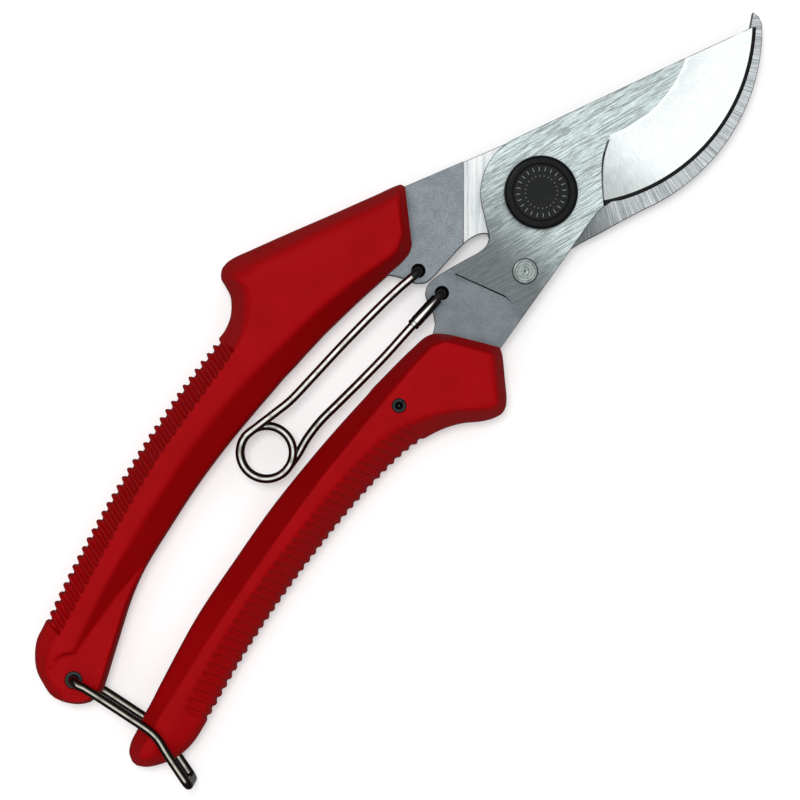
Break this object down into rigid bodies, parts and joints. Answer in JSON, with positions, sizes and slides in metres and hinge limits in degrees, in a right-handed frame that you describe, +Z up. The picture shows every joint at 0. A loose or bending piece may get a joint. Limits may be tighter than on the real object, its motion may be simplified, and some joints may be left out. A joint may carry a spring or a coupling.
{
  "type": "pruning shears",
  "caption": "Bypass pruning shears with ribbed moulded grips, a hooked counter blade, a wire return spring between the handles and a wire latch bail at the rear.",
  "frame": {"origin": "where the pivot axis meets the flat bench that the shears lie on, at the underside of the pivot nut and bolt end", "axes": "+Z up the pivot axis towards the bolt head, +X from the pivot to the blade tips, +Y to the upper handle"},
  "size_m": [0.2009, 0.0641, 0.016],
  "materials": {
    "cutting_blade": "ground and brushed, bright hollow grind",
    "counter_blade": "blasted tang, ground hook",
    "grip_plastic": "satin moulded",
    "black_oxide": "black oxide",
    "zinc_steel": "zinc plated",
    "nylon": "matte",
    "turned_steel": "turned",
    "dark_pin_steel": "oiled dark steel",
    "plated_wire": "bright nickel plated"
  },
  "bodies": {
    "counter_arm": {"counter_blade": "counter_blade", "upper_grip": "grip_plastic", "upper_grip_pin": "dark_pin_steel", "pivot_bolt": "black_oxide", "head_washer": "black_oxide", "spring_washer": "zinc_steel", "nut_washer": "zinc_steel", "pivot_nut": "zinc_steel", "nut_insert": "nylon"},
    "cutting_arm": {"cutting_blade": "cutting_blade", "lower_grip": "grip_plastic", "lower_grip_pin": "dark_pin_steel", "stop_pin": "turned_steel"},
    "spring_upper_half": {"spring_upper": "plated_wire"},
    "spring_lower_half": {"spring_lower": "plated_wire", "spring_sleeve": "plated_wire"},
    "latch_pivot": {"latch_bushing": "dark_pin_steel"},
    "latch": {"latch_bail": "plated_wire"}
  },
  "joints": [
    {"name": "handle_open", "type": "hinge", "parent": "counter_arm", "child": "cutting_arm", "pos_m": [0, 0, 0.008], "axis": [0, 0, 1], "range_deg": [0, 30]},
    {"name": "spring_swing", "type": "hinge", "parent": "counter_arm", "child": "spring_upper_half", "pos_m": [-0.0284, 0.009, 0.0119], "axis": [0, 0, 1], "range_deg": [0, 19]},
    {"name": "spring_flex", "type": "hinge", "parent": "spring_upper_half", "child": "spring_lower_half", "pos_m": [-0.0771, 0.0089, 0.0103], "axis": [0, 0, 1], "range_deg": [-18.5, 0]},
    {"name": "latch_clear", "type": "hinge", "parent": "counter_arm", "child": "latch_pivot", "pos_m": [-0.1382, 0.00915, 0.008], "axis": [0, 0, 1], "range_deg": [-96.5, 0]},
    {"name": "latch_swing", "type": "hinge", "parent": "latch_pivot", "child": "latch", "pos_m": [-0.1382, 0.00915, 0.008], "axis": [0, 0, 1], "range_deg": [-125, 0]}
  ],
  "couplings": [
    {"joint": "spring_swing", "follows": "handle_open", "ratio": 0.5985},
    {"joint": "spring_flex", "follows": "handle_open", "ratio": -0.5903},
    {"joint": "latch_clear", "follows": "handle_open", "ratio": -3.2}
  ]
}
